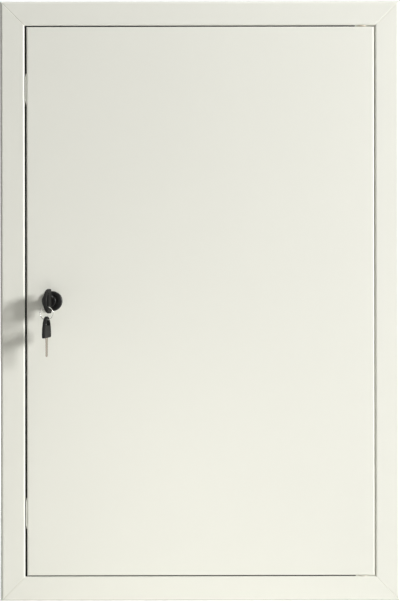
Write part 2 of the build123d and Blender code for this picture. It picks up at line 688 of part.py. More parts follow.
def build():
    parts = make_frame()
    heights = {"lower": CENTRE_Z - ANCHOR_SPACING / 2, "upper": CENTRE_Z + ANCHOR_SPACING / 2}
    for name, z in heights.items():
        parts[f"{name}_left_anchor"] = wall_anchor(-1, z)
        parts[f"{name}_right_anchor"] = wall_anchor(1, z)
    for name, z in zip(("lower", "upper"), buffer_heights()):
        parts[f"{name}_door_buffer"] = door_buffer(z)
    parts["leaf_panel"] = make_leaf_panel()
    for name, z in (("lower", CENTRE_Z - PAD_SPACING / 2), ("upper", CENTRE_Z + PAD_SPACING / 2)):
        parts[f"{name}_edge_pad"] = edge_pad(z)
    parts["leaf_stiffener"] = make_stiffener()
    parts.update(make_pivots())
    parts["lock_housing"] = make_lock_housing()
    parts["lock_nut"] = make_lock_nut()
    parts["lock_plug"] = make_lock_plug()
    parts["plug_clip"] = make_plug_clip()
    parts["lock_cam"] = make_lock_cam()
    parts.update(make_cam_fixings())
    parts.update(make_keys())
    return parts


os.makedirs("parts", exist_ok=True)
for node, solid in build().items():
    export_step(solid, f"parts/{node}.step")
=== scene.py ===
"""Looks of the access panel door: powder-coated sheet steel, a black cam lock, moulded key heads with
rimmed eyes, a wound wire ring, a black strip in the gaps that paints their shade, welds, a lock thread,
and the studio that it stands in.
Metres, as the frame is."""
import json
import math

import bmesh
import bpy
from mathutils import Euler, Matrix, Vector


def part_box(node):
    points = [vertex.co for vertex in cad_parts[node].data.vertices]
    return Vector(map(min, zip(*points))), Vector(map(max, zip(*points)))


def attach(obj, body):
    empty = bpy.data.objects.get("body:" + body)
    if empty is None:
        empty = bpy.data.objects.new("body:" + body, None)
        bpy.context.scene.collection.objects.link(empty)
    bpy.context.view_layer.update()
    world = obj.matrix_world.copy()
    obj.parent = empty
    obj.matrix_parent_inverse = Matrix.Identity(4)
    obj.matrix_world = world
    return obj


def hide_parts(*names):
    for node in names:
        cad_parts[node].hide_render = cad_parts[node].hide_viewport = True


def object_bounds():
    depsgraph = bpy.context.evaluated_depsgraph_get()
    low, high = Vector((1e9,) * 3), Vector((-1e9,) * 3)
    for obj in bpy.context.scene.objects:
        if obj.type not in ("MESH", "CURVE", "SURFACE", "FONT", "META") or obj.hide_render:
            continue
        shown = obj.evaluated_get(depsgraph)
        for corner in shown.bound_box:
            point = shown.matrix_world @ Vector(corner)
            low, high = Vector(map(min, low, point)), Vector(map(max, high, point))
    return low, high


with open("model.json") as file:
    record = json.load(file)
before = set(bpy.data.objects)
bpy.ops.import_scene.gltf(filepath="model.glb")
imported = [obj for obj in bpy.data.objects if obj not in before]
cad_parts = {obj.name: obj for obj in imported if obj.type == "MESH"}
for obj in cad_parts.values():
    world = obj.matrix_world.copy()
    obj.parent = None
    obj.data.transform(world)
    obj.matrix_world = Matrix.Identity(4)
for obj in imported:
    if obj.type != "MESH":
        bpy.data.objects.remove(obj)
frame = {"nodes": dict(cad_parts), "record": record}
CAD_LOW, CAD_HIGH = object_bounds()

bl_info = {
    "name": "Access Panel Door",
    "version": (1, 0, 0),
    "blender": (4, 5, 0),
    "location": "3D View > Sidebar > Panel Door",
    "description": "Finishes, painted gap shade, key details, thread, welds and studio of a steel access panel door",
    "category": "Object",
}

MM = 0.001
SEED = 7
WHITE = (1.0, 1.0, 1.0, 1.0)

# Lengths of the solids that their boxes don't give.
FRAME_SHEET = 1.2 * MM
LEAF_SHEET = 1.0 * MM
ANCHOR_SHEET = 2.0 * MM
STOP_WIDTH = 12.0 * MM
STIFFENER_FOOT_MIDDLE = 4.6 * MM
BARREL_RADIUS = 8.0 * MM
BARREL_HALF_FLATS = 6.97 * MM
BARREL_BEVEL = 0.8 * MM
LOCK_GAP = 1.7 * MM
HINGE_GAP = 0.9 * MM
TOP_GAP = 1.0 * MM
BOTTOM_GAP = 0.8 * MM
EYE_CHORD = 8.8 * MM
EYE_RIM = 2.6 * MM
EYE_HALF_WIDTH = 6.5 * MM
EYE_CORNER = 1.2 * MM
DISH_FLOOR = 1.15 * MM

# Forms of the pieces that are added.
RING_TURNS = 1.86
RING_START = math.radians(150)
RING_STEPS_PER_TURN = 64
WELD_RIM = 0.22 * MM
WELD_BUTTON = (0.6, 0.6, 0.06)
ANCHOR_WELD_RISE = 5.2 * MM
RIPPLE_SPREAD = (0.82, 1.08)
BEAD_SHARE_PROUD = 0.75
# The black strip in the gaps is painted shade: it stands in for the shade deep in the gaps.
SHADE_STRIP_END_CLEARANCE = 2.0 * MM
SHADE_STRIP_BACK_CLEARANCE = 0.2 * MM

# Places of the lamps, from the middle of the door's face.
WINDOW_GRAZING = math.radians(27)
WINDOW_RISE = math.radians(17)
WINDOW_REACH = 3.6
WINDOW_SIZE = 0.75
LOW_FILL_PLACE = (-0.06, -0.4, -0.2)
LOW_FILL_SIZE = 0.14
TOP_PLACE = (0.2, -0.12, 1.5)
TOP_SIZE = 0.3
BACK_PLACE = (-0.8, 2.2, 0.9)
BACK_SIZE = 0.6
CAMERA_SHIFT = (-0.1 * MM, 0.4 * MM)
CAMERA_ROLL = math.radians(0.1)
FLOOR_REACH = 6
FLOOR_DROP = 0.4 * MM
FLOOR_FADE = (0.8, 3.0)
FLOOR_WHITE = (0.6, 1.0)


def box_centre(node):
    """Middle of a node's box."""
    low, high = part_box(node)
    return (low + high) / 2


def linear(hex_text):
    """Linear RGBA of an sRGB hex colour."""
    channels = [int(hex_text[i:i + 2], 16) / 255 for i in (1, 3, 5)]
    return tuple(c / 12.92 if c <= 0.04045 else ((c + 0.055) / 1.055) ** 2.4 for c in channels) + (1.0,)


def watts(name, default, description):
    """Lamp power that a user may change."""
    return bpy.props.FloatProperty(
        name=name, description=description, default=default, min=0.0, subtype="POWER"
    )


def colour_property(name, hex_text, description):
    """Colour that a user may change."""
    return bpy.props.FloatVectorProperty(
        name=name, description=description, default=linear(hex_text), size=4, min=0.0, max=1.0,
        subtype="COLOR"
    )


def length_property(name, millimetres, description):
    """Length that a user may change, kept in metres."""
    return bpy.props.FloatProperty(
        name=name, description=description, default=millimetres * MM, min=0.0, unit="LENGTH", precision=5
    )


class DoorFinishSettings(bpy.types.PropertyGroup):
    """Colours of the real surfaces."""
    coat: colour_property("Powder coat", "#ECECE3", "Warm white of the frame and the leaf")
    zinc: colour_property("Zinc plating", "#C4C6C7", "Bright zinc of the fixings")
    nylon: colour_property("Nylon", "#DEDACB", "Natural nylon of the pivot bushes")
    # This black also colours the strip in the gaps, which is painted shade.
    rubber: colour_property("Rubber", "#1F1F1E", "Black rubber of the door buffers, and the black of the painted gap shade")
    lacquer: colour_property("Black lacquer", "#0C0C0B", "Lacquer of the lock's body and plug")
    key_plastic: colour_property("Key plastic", "#121211", "Moulded heads of the keys")
    nickel: colour_property("Nickel plating", "#B5ACA0", "Blades of the keys")
    wire: colour_property("Ring wire", "#BDBDB7", "Wire of the key ring")


class DoorSizeSettings(bpy.types.PropertyGroup):
    """Sizes of the pieces that are added to the frame's."""
    ring_wire: length_property("Ring wire radius", 0.36, "Half the thickness of the split ring's wire")
    thread_pitch: length_property("Thread pitch", 1.0, "Pitch of the lock barrel's thread")
    thread_height: length_property("Thread height", 0.32, "Height of the thread over the barrel")
    weld_spacing: length_property("Spot weld spacing", 62.0, "Between spot welds along the stiffener")
    weld_radius: length_property("Spot weld radius", 2.4, "Radius of a spot weld's mark")
    bead_spacing: length_property("Weld ripple", 1.3, "Distance between the ripples of a corner weld")
    bead_radius: length_property("Weld bead radius", 1.1, "Half the width of a corner weld")
    rim_width: length_property("Eye rim width", 0.45, "Width of the raised rim round a key head's eye")
    # The strip that these two size is painted shade, a black sheet in the gaps where there is only shade.
    shade_strip_thickness: length_property("Shade strip thickness", 0.4, "Thickness of the black strip that paints the gap's shade")
    shade_strip_depth: length_property("Shade strip depth", 1.0, "From the door's face back to the black strip that paints the gap's shade")


class DoorStudioSettings(bpy.types.PropertyGroup):
    """Camera and lamps."""
    distance: length_property("Camera distance", 600.0, "From the camera to the door's face")
    lens: bpy.props.FloatProperty(
        name="Lens", description="Focal length on a 36 mm wide sensor", default=36.03, min=1.0,
        subtype="DISTANCE_CAMERA"
    )
    window: watts("Window lamp", 151.0, "Power of the large lamp on the right")
    low_fill: watts("Low fill lamp", 0.22, "Power of the lamp low in front")
    sky: watts("Top lamp", 6.0, "Power of the lamp high over the door's face")
    back: watts("Back lamp", 24.0, "Power of the lamp that shows the door's back")
    room: bpy.props.FloatProperty(
        name="Room light", description="Strength of the even light all round", default=0.025, min=0.0
    )


def add_node(tree, kind, settings=None, inputs=None):
    """Adds a node with its settings. An input is a value, or another node's output that is linked to it."""
    node = tree.nodes.new(kind)
    for name, value in (settings or {}).items():
        setattr(node, name, value)
    for name, value in (inputs or {}).items():
        if isinstance(value, bpy.types.NodeSocket):
            tree.links.new(value, node.inputs[name])
        else:
            node.inputs[name].default_value = value
    return node


def new_surface(name, **sockets):
    """Material with a Principled shader. Returns the material, its tree and the shader."""
    material = bpy.data.materials.new(name)
    material.use_nodes = True
    tree = material.node_tree
    tree.nodes.clear()
    shader = add_node(tree, "ShaderNodeBsdfPrincipled", inputs=sockets)
    add_node(tree, "ShaderNodeOutputMaterial", inputs={"Surface": shader.outputs["BSDF"]})
    return material, tree, shader


def per_metre(millimetres):
    """Pattern scale whose marks are about that far apart."""
    return 1000.0 / millimetres


def grain(tree, millimetres, detail=2.0, stretch=(1.0, 1.0, 1.0)):
    """Noise whose marks are about that far apart, on the object's own coordinates."""
    coordinates = add_node(tree, "ShaderNodeTexCoord")
    mapping = add_node(
        tree, "ShaderNodeMapping", inputs={"Vector": coordinates.outputs["Object"], "Scale": stretch}
    )
    return add_node(
        tree,
        "ShaderNodeTexNoise",
        inputs={"Vector": mapping.outputs["Vector"], "Scale": per_metre(millimetres), "Detail": detail},
    ).outputs["Fac"]


def spread(tree, factor, low, high):
    """Maps a 0 to 1 pattern to a narrow range round a value."""
    return add_node(
        tree,
        "ShaderNodeMapRange",
        inputs={"Value": factor, "From Min": 0.3, "From Max": 0.7, "To Min": low, "To Max": high},
    ).outputs["Result"]


def shade(tree, factor, colour, darker):
    """Colour that varies a little from place to place."""
    second = tuple(c * darker for c in colour[:3]) + (1.0,)
    mix = add_node(tree, "ShaderNodeMix", settings={"data_type": "RGBA"}, inputs={"Factor": factor})
    for socket in mix.inputs:
        if socket.type == "RGBA" and socket.name == "A":
            socket.default_value = colour
        if socket.type == "RGBA" and socket.name == "B":
            socket.default_value = second
    return next(s for s in mix.outputs if s.type == "RGBA")


def relief(tree, shader, height, millimetres, strength=1.0):
    """Bump of a real depth."""
    bump = add_node(
        tree, "ShaderNodeBump", inputs={"Height": height, "Distance": millimetres * MM, "Strength": strength}
    )
    tree.links.new(bump.outputs["Normal"], shader.inputs["Normal"])


def powder_coat(colour):
    """Polyester powder, sprayed and baked: a satin skin with a fine orange peel that softens reflections."""
    material, tree, shader = new_surface(
        "powder_coat_warm_white", **{"Roughness": 0.46, "IOR": 1.5, "Specular IOR Level": 0.2}
    )
    peel = grain(tree, 1.6, detail=3.0)
    cloud = grain(tree, 90.0, detail=1.0)
    tree.links.new(shade(tree, cloud, colour, 0.985), shader.inputs["Base Color"])
    tree.links.new(spread(tree, peel, 0.42, 0.52), shader.inputs["Roughness"])
    relief(tree, shader, peel, 0.018)
    return material


def zinc_plating(colour):
    """Bright zinc on pressed steel: a soft metal sheen with faint crystalline clouds."""
    material, tree, shader = new_surface("zinc_plated_steel", Metallic=1.0)
    cloud = grain(tree, 2.5, detail=4.0)
    fine = grain(tree, 0.5, detail=2.0)
    tree.links.new(shade(tree, cloud, colour, 0.82), shader.inputs["Base Color"])
    tree.links.new(spread(tree, cloud, 0.28, 0.42), shader.inputs["Roughness"])
    relief(tree, shader, fine, 0.01)
    return material


def natural_nylon(colour):
    """Turned nylon: a milky body with faint turning marks."""
    material, tree, shader = new_surface(
        "natural_nylon",
        **{"Roughness": 0.48, "IOR": 1.53, "Subsurface Weight": 0.15, "Subsurface Scale": 1.0 * MM}
    )
    rings = grain(tree, 0.6, detail=1.0, stretch=(0.1, 0.1, 1.0))
    tree.links.new(shade(tree, rings, colour, 0.93), shader.inputs["Base Color"])
    relief(tree, shader, rings, 0.02)
    return material


def moulded_rubber_and_painted_gap_shade(colour):
    """Moulded EPDM of the buffers: nearly matt, with a slightly dusty skin. Its black also paints the shade
    in the gaps, as the strip laid there.
    """
    material, tree, shader = new_surface("moulded_rubber_and_painted_gap_shade", IOR=1.52)
    skin = grain(tree, 0.8, detail=4.0)
    tree.links.new(shade(tree, skin, colour, 0.7), shader.inputs["Base Color"])
    tree.links.new(spread(tree, skin, 0.72, 0.88), shader.inputs["Roughness"])
    relief(tree, shader, skin, 0.03)
    return material


def black_lacquer(colour):
    """Stoved lacquer on a zinc die casting: semi-gloss black over a slightly uneven casting skin."""
    material, tree, shader = new_surface(
        "black_lacquered_casting",
        **{"IOR": 1.5, "Specular IOR Level": 0.3, "Coat Weight": 0.1, "Coat Roughness": 0.2}
    )
    skin = grain(tree, 1.1, detail=3.0)
    tree.links.new(shade(tree, skin, colour, 0.7), shader.inputs["Base Color"])
    tree.links.new(spread(tree, skin, 0.26, 0.38), shader.inputs["Roughness"])
    relief(tree, shader, skin, 0.02)
    return material


def moulded_plastic(colour):
    """Injection-moulded ABS with a spark-eroded texture: satin black, with a fine pebbled skin.

    The real pebbles are about 0.1 mm wide and wouldn't show, so they are drawn coarser.
    """
    material, tree, shader = new_surface("moulded_abs_black", **{"IOR": 1.5, "Specular IOR Level": 0.2})
    pebbles = grain(tree, 0.45, detail=3.0)
    tree.links.new(shade(tree, pebbles, colour, 0.75), shader.inputs["Base Color"])
    tree.links.new(spread(tree, pebbles, 0.56, 0.7), shader.inputs["Roughness"])
    relief(tree, shader, pebbles, 0.02)
    return material


def nickel_plating(colour):
    """Nickel on a milled brass blade: a warm grey metal with fine draw lines along its length.

    The real lines are under 0.1 mm apart and wouldn't show, so they are drawn coarser.
    """
    material, tree, shader = new_surface("nickel_plated_brass", Metallic=1.0)
    lines = grain(tree, 0.35, detail=3.0, stretch=(1.0, 1.0, 0.06))
    tree.links.new(shade(tree, lines, colour, 0.72), shader.inputs["Base Color"])
    tree.links.new(spread(tree, lines, 0.26, 0.44), shader.inputs["Roughness"])
    relief(tree, shader, lines, 0.008)
    return material


def bright_wire(colour):
    """Drawn spring-steel wire: bright, with faint drawing marks."""
    material, tree, shader = new_surface("drawn_steel_wire", Metallic=1.0)
    marks = grain(tree, 0.4, detail=2.0)
    tree.links.new(shade(tree, marks, colour, 0.8), shader.inputs["Base Color"])
    tree.links.new(spread(tree, marks, 0.2, 0.32), shader.inputs["Roughness"])
    return material


def make_materials(finish):
    """The record's material slots, each with its material."""
    return {
        "powder_coat": powder_coat(tuple(finish.coat)),
        "zinc_steel": zinc_plating(tuple(finish.zinc)),
        "bush_nylon": natural_nylon(tuple(finish.nylon)),
        "buffer_rubber": moulded_rubber_and_painted_gap_shade(tuple(finish.rubber)),
        "lock_black": black_lacquer(tuple(finish.lacquer)),
        "plug_black": black_lacquer(tuple(finish.lacquer)),
        "key_plastic": moulded_plastic(tuple(finish.key_plastic)),
        "key_steel": nickel_plating(tuple(finish.nickel)),
        "ring_wire": bright_wire(tuple(finish.wire)),
    }


MATERIALS = {}


def new_piece(name, mesh, body, slot, replaced=()):
    """Object at the origin that rides on a body and takes its finish from a material slot."""
    piece = bpy.data.objects.new(name, mesh)
    bpy.context.scene.collection.objects.link(piece)
    if not mesh.materials:
        mesh.materials.append(MATERIALS[slot])
    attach(piece, body)
    if replaced:
        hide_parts(*replaced)
    return piece


def new_tree(name, sockets):
    """Geometry Nodes tree with named inputs. Returns the tree and its group input node."""
    tree = bpy.data.node_groups.new(name, "GeometryNodeTree")
    for label, kind in sockets.items():
        tree.interface.new_socket(name=label, in_out="INPUT", socket_type=kind)
    tree.interface.new_socket(name="Geometry", in_out="OUTPUT", socket_type="NodeSocketGeometry")
    return tree, add_node(tree, "NodeGroupInput")


def end_tree(tree, geometry, material):
    """Realizes the instances and sets their material."""
    realized = add_node(tree, "GeometryNodeRealizeInstances", inputs={"Geometry": geometry})
    coated = add_node(
        tree,
        "GeometryNodeSetMaterial",
        inputs={"Geometry": realized.outputs["Geometry"], "Material": material},
    )
    add_node(tree, "NodeGroupOutput", inputs={"Geometry": coated.outputs["Geometry"]})


def grown_mesh(name, tree, values, points=(), edges=()):
    """Plain mesh of what the tree makes from those points and edges."""
    base = bpy.data.meshes.new(name + "_base")
    base.from_pydata([tuple(p) for p in points], edges, [])
    host = bpy.data.objects.new(name + "_host", base)
    bpy.context.scene.collection.objects.link(host)
    modifier = host.modifiers.new("Nodes", "NODES")
    modifier.node_group = tree
    for item in tree.interface.items_tree:
        if item.in_out == "INPUT" and item.name in values:
            modifier[item.identifier] = values[item.name]
    evaluated = host.evaluated_get(bpy.context.evaluated_depsgraph_get())
    mesh = bpy.data.meshes.new_from_object(evaluated)
    mesh.name = name
    bpy.data.objects.remove(host)
    bpy.data.meshes.remove(base)
    return mesh


class DOOR_OT_finishes(bpy.types.Operator):
    """Gives every sheet, lock, key and pivot piece its finish"""
    bl_idname = "panel_door.finishes"
    bl_label = "Finishes"

    def execute(self, context):
        MATERIALS.update(make_materials(context.scene.door_finish))
        for row in frame["record"]["subparts"]:
            node = frame["nodes"][row["node"]]
            for slot in node.material_slots:
                slot.material = MATERIALS[row["material_slot"]]
        return {"FINISHED"}


def split_ring_points(centre, radius, offset, turns, per_turn):
    """Wire line of a split ring: flat turns side by side, with one short step between them."""
    step_from, step_to = 0.44, 0.56
    points = []
    for i in range(int(turns * per_turn) + 1):
        share = i / (turns * per_turn)
        step = min(max((share - step_from) / (step_to - step_from), 0.0), 1.0)
        step = step * step * (3 - 2 * step)
        angle = RING_START + share * turns * math.tau
        points.append(
            centre + Vector((math.cos(angle) * radius, (2 * step - 1) * offset, math.sin(angle) * radius))
        )
    return points


class DOOR_OT_key_ring(bpy.types.Operator):
    """Winds the split ring that joins the two keys"""
    bl_idname = "panel_door.key_ring"
    bl_label = "Key ring"

    def execute(self, context):
        wire = context.scene.door_sizes.ring_wire
        low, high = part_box("key_ring")
        radius = (high.x - low.x) / 2 - (high.y - low.y) / 2
        tree, given = new_tree(
            "Wound wire",
            {
                "Line": "NodeSocketGeometry",
                "Wire radius": "NodeSocketFloat",
                "Finish": "NodeSocketMaterial",
            },
        )
        line = add_node(tree, "GeometryNodeMeshToCurve", inputs={"Mesh": given.outputs["Line"]})
        section = add_node(
            tree,
            "GeometryNodeCurvePrimitiveCircle",
            inputs={"Resolution": 14, "Radius": given.outputs["Wire radius"]},
        )
        tube = add_node(
            tree,
            "GeometryNodeCurveToMesh",
            inputs={
                "Curve": line.outputs["Curve"],
                "Profile Curve": section.outputs["Curve"],
                "Fill Caps": True,
            },
        )
        smooth = add_node(tree, "GeometryNodeSetShadeSmooth", inputs={"Geometry": tube.outputs["Mesh"]})
        end_tree(tree, smooth.outputs["Geometry"], given.outputs["Finish"])
        half_pitch = wire * 1.04
        points = split_ring_points(
            box_centre("key_ring"), radius, half_pitch, RING_TURNS, RING_STEPS_PER_TURN
        )
        edges = [(i, i + 1) for i in range(len(points) - 1)]
        values = {"Wire radius": wire, "Finish": MATERIALS["ring_wire"]}
        mesh = grown_mesh("split_ring", tree, values, points, edges)
        new_piece("split_ring", mesh, "ring", "ring_wire", ["key_ring"])
        return {"FINISHED"}


def eye_outline(half_width, depth, corner, steps, corner_steps=6):
    """Half ellipse with rounded lower corners, as points from the chord's middle."""
    points = []
    for i in range(steps + 1):
        angle = math.pi * i / steps
        points.append(Vector((half_width * math.cos(angle), depth * math.sin(angle))))
    right = [p for p in points if p.y > corner]
    lower_left = Vector((-half_width + corner, corner))
    lower_right = Vector((half_width - corner, corner))
    turns = [math.radians(90) * i / corner_steps for i in range(corner_steps + 1)]
    left_arc = [lower_left + corner * Vector((-math.cos(a), -math.sin(a))) for a in turns]
    right_arc = [lower_right + corner * Vector((math.sin(a), -math.cos(a))) for a in turns]
    return right + left_arc + right_arc


class DOOR_OT_eye_rims(bpy.types.Operator):
    """Raises the moulded rim round the eye of each key head, level with the head's sides"""
    bl_idname = "panel_door.eye_rims"
    bl_label = "Eye rims"

    def execute(self, context):
        sizes = context.scene.door_sizes
        for node, body, along, across in (
            ("key_head", "lock_cylinder", Vector((0, -1, 0)), Vector((0, 0, 1))),
            ("spare_key_head", "spare_key", Vector((0, 0, 1)), Vector((0, 1, 0))),
        ):
            low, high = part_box(node)
            middle = (low + high) / 2
            tip = middle + along * (high - low).dot(Vector([abs(c) for c in along])) / 2
            chord = tip - along * EYE_CHORD
            half_thick = (high.x - low.x) / 2
            foot = sizes.rim_width + (half_thick - DISH_FLOOR) * 0.5
            section = (
                (0.0, DISH_FLOOR), (0.0, half_thick), (sizes.rim_width, half_thick), (foot, DISH_FLOOR)
            )
            line = eye_outline(EYE_HALF_WIDTH, EYE_CHORD - EYE_RIM, EYE_CORNER, 40)
            mesh = bpy.data.meshes.new(node + "_eye_rim")
            bm = bmesh.new()
            for side in (-1, 1):
                rows = []
                for i, point in enumerate(line):
                    run = line[(i + 1) % len(line)] - line[i - 1]
                    out = Vector((run.y, -run.x)).normalized()
                    ring = []
                    for push, level in section:
                        flat = point + out * push
                        place = chord + across * flat.x + along * flat.y
                        ring.append(bm.verts.new((middle.x + side * level, place.y, place.z)))
                    rows.append(ring)
                for i, ring in enumerate(rows):
                    other = rows[(i + 1) % len(rows)]
                    for j in range(len(ring)):
                        k = (j + 1) % len(ring)
                        bm.faces.new((ring[j], other[j], other[k], ring[k]))
            bmesh.ops.recalc_face_normals(bm, faces=bm.faces)
            bm.to_mesh(mesh)
            bm.free()
            new_piece(node + "_eye_rim", mesh, body, "key_plastic")
        return {"FINISHED"}


class DOOR_OT_barrel_thread(bpy.types.Operator):
    """Cuts the thread of the lock's barrel behind its nut"""
    bl_idname = "panel_door.barrel_thread"
    bl_label = "Barrel thread"

    def execute(self, context):
        sizes = context.scene.door_sizes
        nut_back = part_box("lock_nut")[1].y
        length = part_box("lock_housing")[1].y - BARREL_BEVEL - nut_back
        tree, given = new_tree(
            "Barrel thread",
            {
                "Turns": "NodeSocketFloat",
                "Length": "NodeSocketFloat",
                "Radius": "NodeSocketFloat",
                "Height": "NodeSocketFloat",
                "Flat": "NodeSocketFloat",
                "Start": "NodeSocketVector",
                "Finish": "NodeSocketMaterial",
            },
        )
        helix = add_node(
            tree,
            "GeometryNodeCurveSpiral",
            inputs={
                "Resolution": 56,
                "Rotations": given.outputs["Turns"],
                "Start Radius": given.outputs["Radius"],
                "End Radius": given.outputs["Radius"],
                "Height": given.outputs["Length"],
            },
        )
        upright = add_node(
            tree,
            "GeometryNodeSetCurveNormal",
            settings={"mode": "Z_UP"},
            inputs={"Curve": helix.outputs["Curve"]},
        )
        ridge = add_node(
            tree,
            "GeometryNodeCurvePrimitiveCircle",
            inputs={"Resolution": 4, "Radius": given.outputs["Height"]},
        )
        thread = add_node(
            tree,
            "GeometryNodeCurveToMesh",
            inputs={
                "Curve": upright.outputs["Curve"],
                "Profile Curve": ridge.outputs["Curve"],
                "Fill Caps": True,
            },
        )
        place = add_node(tree, "GeometryNodeInputPosition")
        parts = add_node(tree, "ShaderNodeSeparateXYZ", inputs={"Vector": place.outputs["Position"]})
        lower = add_node(
            tree,
            "ShaderNodeMath",
            settings={"operation": "MULTIPLY"},
            inputs={0: given.outputs["Flat"], 1: -1.0},
        )
        kept = add_node(
            tree,
            "ShaderNodeClamp",
            inputs={"Value": parts.outputs["X"], "Min": lower.outputs["Value"], "Max": given.outputs["Flat"]},
        )
        joined = add_node(
            tree,
            "ShaderNodeCombineXYZ",
            inputs={"X": kept.outputs["Result"], "Y": parts.outputs["Y"], "Z": parts.outputs["Z"]},
        )
        cut = add_node(
            tree,
            "GeometryNodeSetPosition",
            inputs={"Geometry": thread.outputs["Mesh"], "Position": joined.outputs["Vector"]},
        )
        placed = add_node(
            tree,
            "GeometryNodeTransform",
            inputs={
                "Geometry": cut.outputs["Geometry"],
                "Rotation": (-math.pi / 2, 0.0, 0.0),
                "Translation": given.outputs["Start"],
            },
        )
        end_tree(tree, placed.outputs["Geometry"], given.outputs["Finish"])
        centre = box_centre("lock_nut")
        values = {
            "Turns": length / sizes.thread_pitch,
            "Length": length,
            "Radius": BARREL_RADIUS,
            "Height": sizes.thread_height,
            "Flat": BARREL_HALF_FLATS,
            "Start": (centre.x, nut_back, centre.z),
            "Finish": MATERIALS["lock_black"],
        }
        new_piece("barrel_thread", grown_mesh("barrel_thread", tree, values), "leaf", "lock_black")
        return {"FINISHED"}


def spot_weld_tree():
    """Tree that puts a pressed mark, a low ring round a shallow button, on each point."""
    tree, given = new_tree(
        "Spot welds",
        {
            "Points": "NodeSocketGeometry",
            "Radius": "NodeSocketFloat",
            "Facing": "NodeSocketVector",
            "Finish": "NodeSocketMaterial",
        },
    )
    rim_line = add_node(
        tree, "GeometryNodeCurvePrimitiveCircle", inputs={"Resolution": 24, "Radius": given.outputs["Radius"]}
    )
    rim_section = add_node(
        tree, "GeometryNodeCurvePrimitiveCircle", inputs={"Resolution": 8, "Radius": WELD_RIM}
    )
    rim = add_node(
        tree,
        "GeometryNodeCurveToMesh",
        inputs={"Curve": rim_line.outputs["Curve"], "Profile Curve": rim_section.outputs["Curve"]},
    )
    button = add_node(
        tree,
        "GeometryNodeMeshUVSphere",
        inputs={"Segments": 20, "Rings": 8, "Radius": given.outputs["Radius"]},
    )
    flat = add_node(
        tree,
        "GeometryNodeTransform",
        inputs={"Geometry": button.outputs["Mesh"], "Scale": WELD_BUTTON},
    )
    mark = add_node(tree, "GeometryNodeJoinGeometry")
    tree.links.new(rim.outputs["Mesh"], mark.inputs["Geometry"])
    tree.links.new(flat.outputs["Geometry"], mark.inputs["Geometry"])
    smooth = add_node(tree, "GeometryNodeSetShadeSmooth", inputs={"Geometry": mark.outputs["Geometry"]})
    turned = add_node(tree, "FunctionNodeEulerToRotation", inputs={"Euler": given.outputs["Facing"]})
    placed = add_node(
        tree,
        "GeometryNodeInstanceOnPoints",
        inputs={
            "Points": given.outputs["Points"],
            "Instance": smooth.outputs["Geometry"],
            "Rotation": turned.outputs["Rotation"],
        },
    )
    end_tree(tree, placed.outputs["Instances"], given.outputs["Finish"])
    return tree


def stiffener_weld_points(spacing):
    """Two rows of points on the stiffener's feet."""
    low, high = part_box("leaf_stiffener")
    end_margin = 14 * MM
    count = int((high.z - low.z - 2 * end_margin) / spacing) + 1
    first = (low.z + high.z) / 2 - (count - 1) * spacing / 2
    return [
        Vector((x, low.y + LEAF_SHEET, first + i * spacing))
        for x in (low.x + STIFFENER_FOOT_MIDDLE, high.x - STIFFENER_FOOT_MIDDLE)
        for i in range(count)
    ]


def anchor_weld_points():
    """Two points on the outer side of each wall anchor, where it lies on the reveal."""
    points = []
    jamb_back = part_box("hinge_jamb")[1].y
    for level in ("lower", "upper"):
        for side, sign in (("left", -1), ("right", 1)):
            low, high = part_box(f"{level}_{side}_anchor")
            outer_x = (low.x if sign > 0 else high.x) + sign * ANCHOR_SHEET
            middle_y = (low.y + jamb_back) / 2
            for rise in (-ANCHOR_WELD_RISE, ANCHOR_WELD_RISE):
                points.append(Vector((outer_x, middle_y, (low.z + high.z) / 2 + rise)))
    return points


class DOOR_OT_spot_welds(bpy.types.Operator):
    """Presses the spot welds of the stiffener and of the wall anchors"""
    bl_idname = "panel_door.spot_welds"
    bl_label = "Spot welds"

    def execute(self, context):
        sizes = context.scene.door_sizes
        tree = spot_weld_tree()
        quarter = math.pi / 2
        rows = {
            "stiffener_spot_welds": (stiffener_weld_points(sizes.weld_spacing), (quarter, 0.0, 0.0), "leaf"),
            "anchor_spot_welds": (anchor_weld_points(), (0.0, quarter, 0.0), "frame"),
        }
        for name, (points, facing, body) in rows.items():
            values = {"Radius": sizes.weld_radius, "Facing": facing, "Finish": MATERIALS["powder_coat"]}
            new_piece(name, grown_mesh(name, tree, values, points), body, "powder_coat")
        return {"FINISHED"}


def corner_weld_lines():
    """Line ends of the welds behind the frame's corners: over each stop mitre and down each reveal corner."""
    reveal_low, reveal_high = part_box("leaf_panel")
    stop_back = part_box("hinge_jamb")[1].y
    outer_inset, inner_inset = 0.08, 0.1
    low_x, high_x = reveal_low.x - LOCK_GAP, reveal_high.x + HINGE_GAP
    low_z, high_z = reveal_low.z - BOTTOM_GAP, reveal_high.z + TOP_GAP
    lines = []
    for x, sign_x in ((low_x, -1), (high_x, 1)):
        for z, sign_z in ((low_z, -1), (high_z, 1)):
            corner = Vector((x + sign_x * FRAME_SHEET, stop_back, z + sign_z * FRAME_SHEET))
            inner = Vector((x - sign_x * STOP_WIDTH, stop_back, z - sign_z * STOP_WIDTH))
            front = Vector((corner.x, -5 * MM, corner.z))
            mitre = inner - corner
            lines.append((corner + mitre * outer_inset, inner - mitre * inner_inset))
            lines.append((corner - Vector((0, FRAME_SHEET, 0)), front))
    return lines


